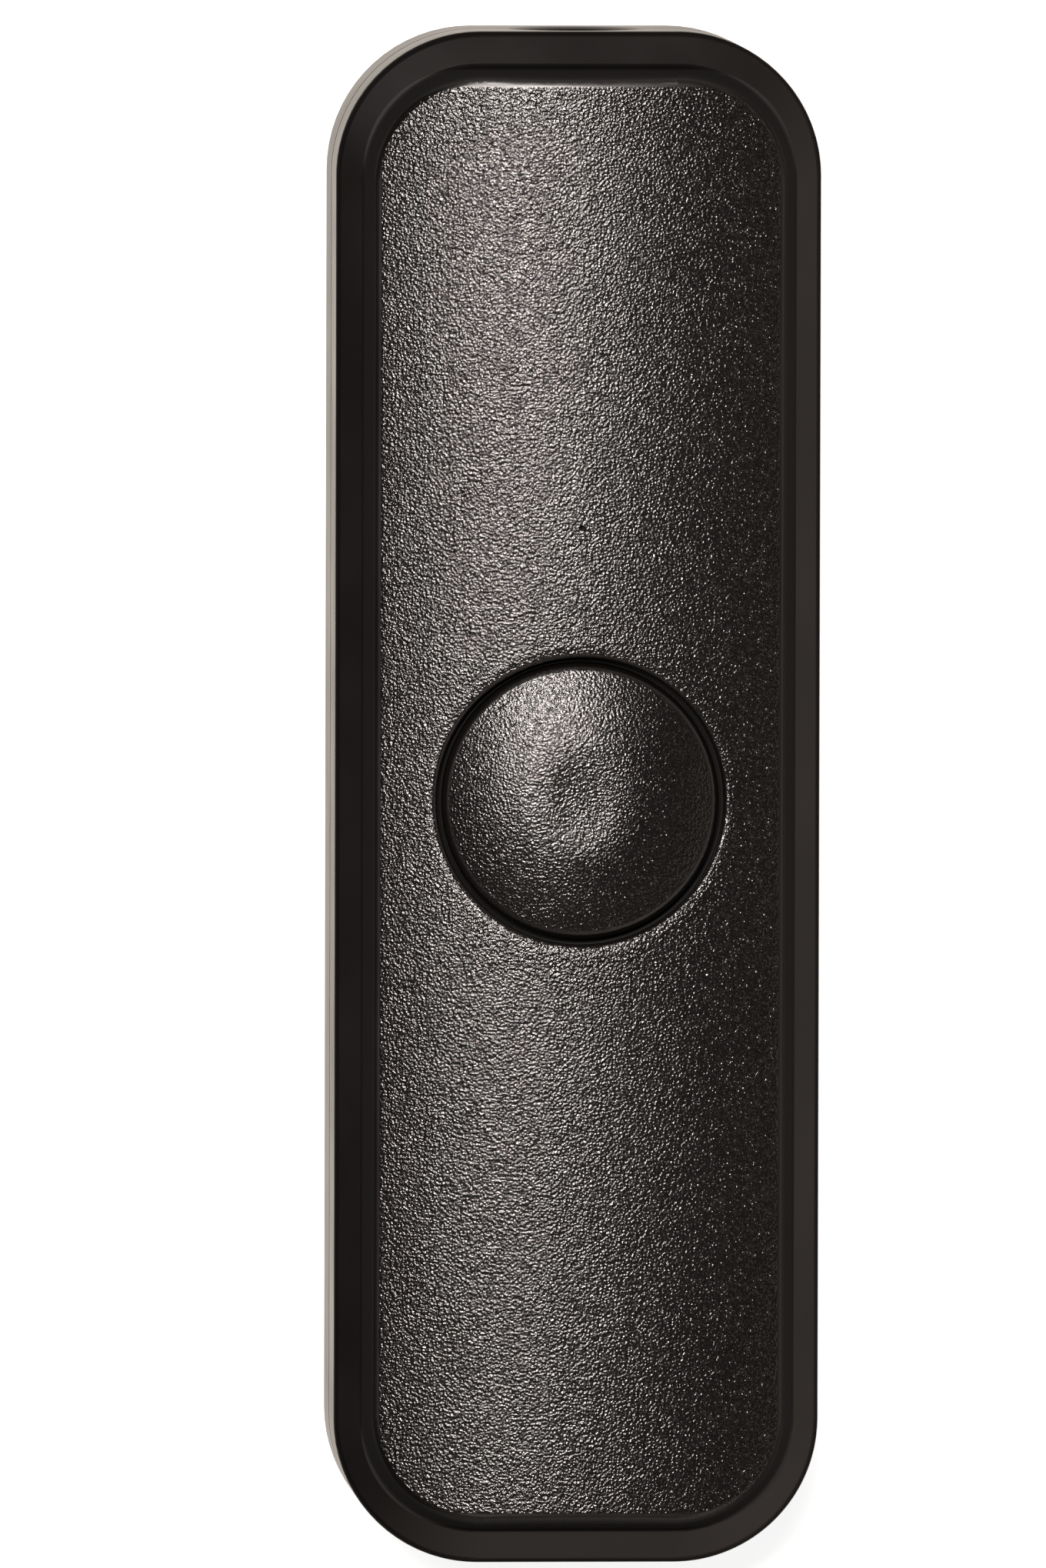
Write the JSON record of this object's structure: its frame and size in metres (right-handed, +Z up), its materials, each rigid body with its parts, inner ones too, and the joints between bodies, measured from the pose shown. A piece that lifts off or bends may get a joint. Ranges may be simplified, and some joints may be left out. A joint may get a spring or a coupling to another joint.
{
  "type": "inline cord dimmer",
  "caption": "Slim black inline cord dimmer: long rounded casing with a crowned panel, a round domed push button, an indicator pinhole and a cord inlet at each end.",
  "frame": {"origin": "centre of the casing's flat bottom face", "axes": "+Z up through the button, +Y along the casing towards the indicator end, +X across it to the right"},
  "size_m": [0.032, 0.101, 0.0185],
  "materials": {
    "casing_abs": "black ABS, spark-eroded panel and satin border",
    "button_abs": "black ABS, spark-eroded",
    "zinc_steel": "zinc-plated",
    "black_polyamide": "moulded",
    "switch_pbt": "moulded",
    "spring_steel": "stamped, bright",
    "tinned_steel": "tinned",
    "board_laminate": "green solder mask on glass-epoxy",
    "led_epoxy": "cast epoxy",
    "clear_acrylic": "clear moulded acrylic",
    "terminal_polyamide": "grey, moulded",
    "brass_cage": "stamped, plated",
    "epoxy_black": "moulded epoxy",
    "fuse_ceramic": "ceramic tube with plated caps",
    "chip_ceramic": "thick film on ceramic",
    "ferrite": "sintered ferrite",
    "enamelled_copper": "enamelled copper wire",
    "varistor_epoxy": "blue dipped epoxy",
    "film_case": "yellow moulded case",
    "can_sleeve": "sleeved aluminium can"
  },
  "bodies": {
    "casing": {"upper_shell": "casing_abs", "lower_shell": "casing_abs", "case_screws": "zinc_steel", "switch_housing": "switch_pbt", "switch_legs": "tinned_steel", "switch_dome": "spring_steel", "switch_cover": "spring_steel", "circuit_board": "board_laminate", "board_screws": "zinc_steel", "indicator_led": "led_epoxy", "light_guide": "clear_acrylic", "input_terminal_block": "terminal_polyamide", "input_terminal_cages": "brass_cage", "input_terminal_screws": "zinc_steel", "output_terminal_block": "terminal_polyamide", "output_terminal_cages": "brass_cage", "output_terminal_screws": "zinc_steel", "input_cord_clamp": "black_polyamide", "input_clamp_screws": "zinc_steel", "output_cord_clamp": "black_polyamide", "output_clamp_screws": "zinc_steel", "power_transistors": "epoxy_black", "rectifier_diodes": "epoxy_black", "fuse": "fuse_ceramic", "control_chip": "epoxy_black", "chip_resistors": "chip_ceramic", "choke_core": "ferrite", "choke_winding": "enamelled_copper", "varistor": "varistor_epoxy", "film_capacitor": "film_case", "electrolytic_capacitor": "can_sleeve"},
    "button": {"button_cap": "button_abs"},
    "plunger": {"switch_plunger": "switch_pbt"}
  },
  "joints": [
    {"name": "button_press", "type": "slide", "parent": "casing", "child": "button", "axis": [0, 0, -1], "range_m": [0, 0.0004], "stiffness_N_per_m": 2500, "springref_m": -0.0003},
    {"name": "switch_travel", "type": "slide", "parent": "casing", "child": "plunger", "axis": [0, 0, -1], "range_m": [0, 0.0004], "deforming": ["switch_dome"]}
  ],
  "couplings": [
    {"joint": "switch_travel", "follows": "button_press", "ratio": 1}
  ]
}
